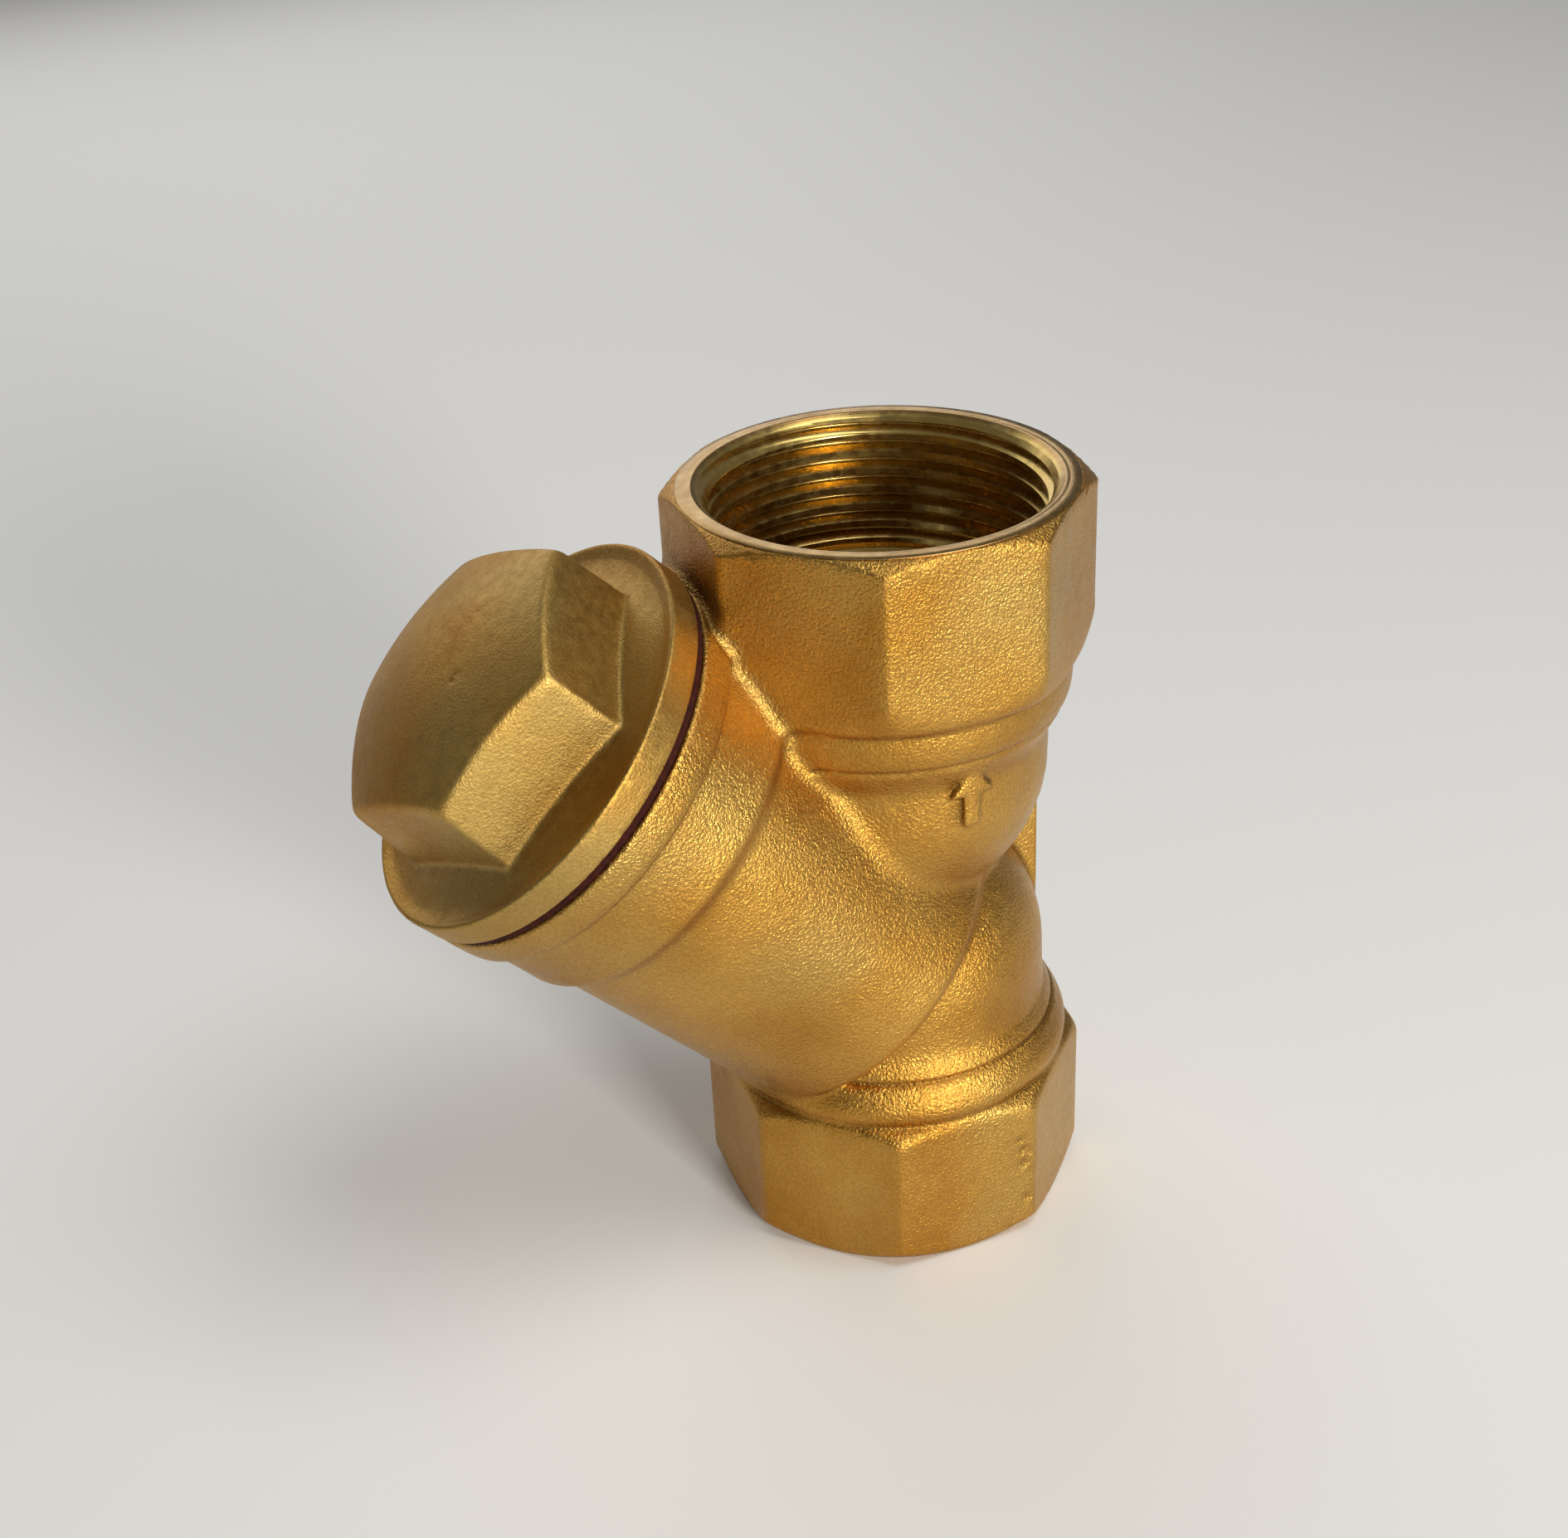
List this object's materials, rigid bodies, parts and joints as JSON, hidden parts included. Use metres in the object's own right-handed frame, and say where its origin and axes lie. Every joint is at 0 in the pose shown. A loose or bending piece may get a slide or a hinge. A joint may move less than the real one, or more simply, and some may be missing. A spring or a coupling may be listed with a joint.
{
  "type": "y strainer",
  "caption": "Threaded brass Y strainer with octagonal ports, a 45 degree branch, a hexagonal screw cap with gasket and a removable perforated screen.",
  "frame": {"origin": "centre of the inlet (lower) port face, on the run axis", "axes": "+Z along the run axis towards the outlet port; the branch leans towards -X and +Z; Y is across the plane of symmetry"},
  "size_m": [0.0887, 0.0492, 0.097],
  "materials": {
    "body_brass": "blasted forging with turned ports",
    "cap_brass": "forged, slightly duller than the body",
    "gasket_fibre": "dark red pressed fibre",
    "screen_steel": "perforated sheet",
    "mesh_steel": "fine woven wire",
    "rim_steel": "folded sheet"
  },
  "bodies": {
    "casting": {"body": "body_brass"},
    "screen_basket": {"screen": "screen_steel", "screen_mesh": "mesh_steel", "screen_seat_ring": "rim_steel", "screen_cap_ring": "rim_steel", "screen_seam": "rim_steel"},
    "gasket_ring": {"cap_gasket": "gasket_fibre"},
    "screw_cap": {"cap": "cap_brass"}
  },
  "joints": [
    {"name": "basket_withdraw", "type": "slide", "parent": "casting", "child": "screen_basket", "axis": [-0.7071, 0, 0.7071], "range_m": [0, 0.056]},
    {"name": "cap_lift", "type": "slide", "parent": "screen_basket", "child": "gasket_ring", "axis": [-0.7071, 0, 0.7071], "range_m": [0, 0.012]},
    {"name": "cap_unscrew", "type": "hinge", "parent": "gasket_ring", "child": "screw_cap", "pos_m": [0, 0, 0.0303], "axis": [-0.7071, 0, 0.7071], "range_deg": [0, 2880]}
  ],
  "couplings": [
    {"joint": "cap_lift", "follows": "cap_unscrew", "m_per_rad": 0.00023873}
  ]
}
